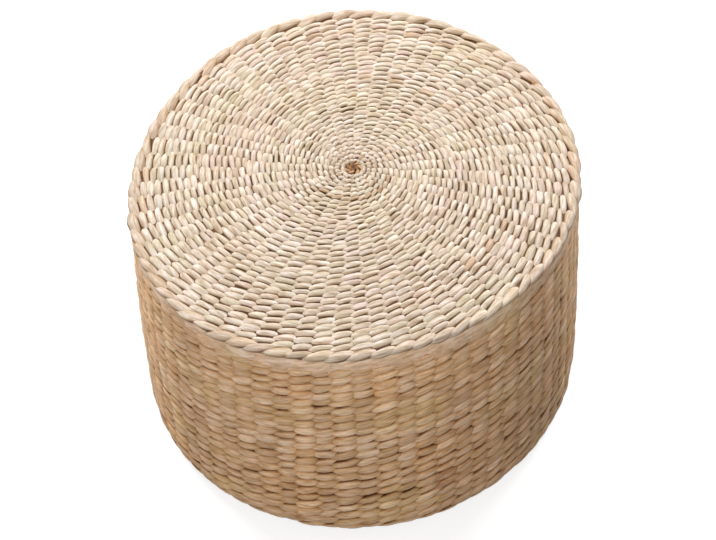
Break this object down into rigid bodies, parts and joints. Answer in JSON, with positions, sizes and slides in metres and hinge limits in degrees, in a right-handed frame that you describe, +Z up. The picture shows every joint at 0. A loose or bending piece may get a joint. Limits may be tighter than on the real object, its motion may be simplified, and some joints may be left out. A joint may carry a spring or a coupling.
{
  "type": "twined straw pouf",
  "caption": "Low round drum pouf woven from flat dried leaf, with a slightly domed ring-woven top, a twisted rim, ribbed sides and a flat base to rest on a floor.",
  "frame": {"origin": "middle of the base, on the floor", "axes": "+Z up through the middle of the top, -Y towards the front of the picture, +X to the right"},
  "size_m": [0.4084, 0.4084, 0.2807],
  "materials": {
    "side_leaf": "matte dried leaf, tan with brown creases",
    "top_leaf": "matte dried leaf, pale cream with brown creases",
    "knot_leaf": "matte dried leaf, brown",
    "rim_leaf": "matte dried leaf, pale, twisted",
    "band_leaf": "smooth laid leaf, low sheen",
    "base_leaf": "matte dried leaf, darker tan"
  },
  "bodies": {
    "root": {"woven_drum": "side_leaf", "top_panel": "top_leaf", "centre_knot": "knot_leaf", "rim_braid": "rim_leaf", "edge_band": "band_leaf", "base_panel": "base_leaf"}
  },
  "joints": []
}
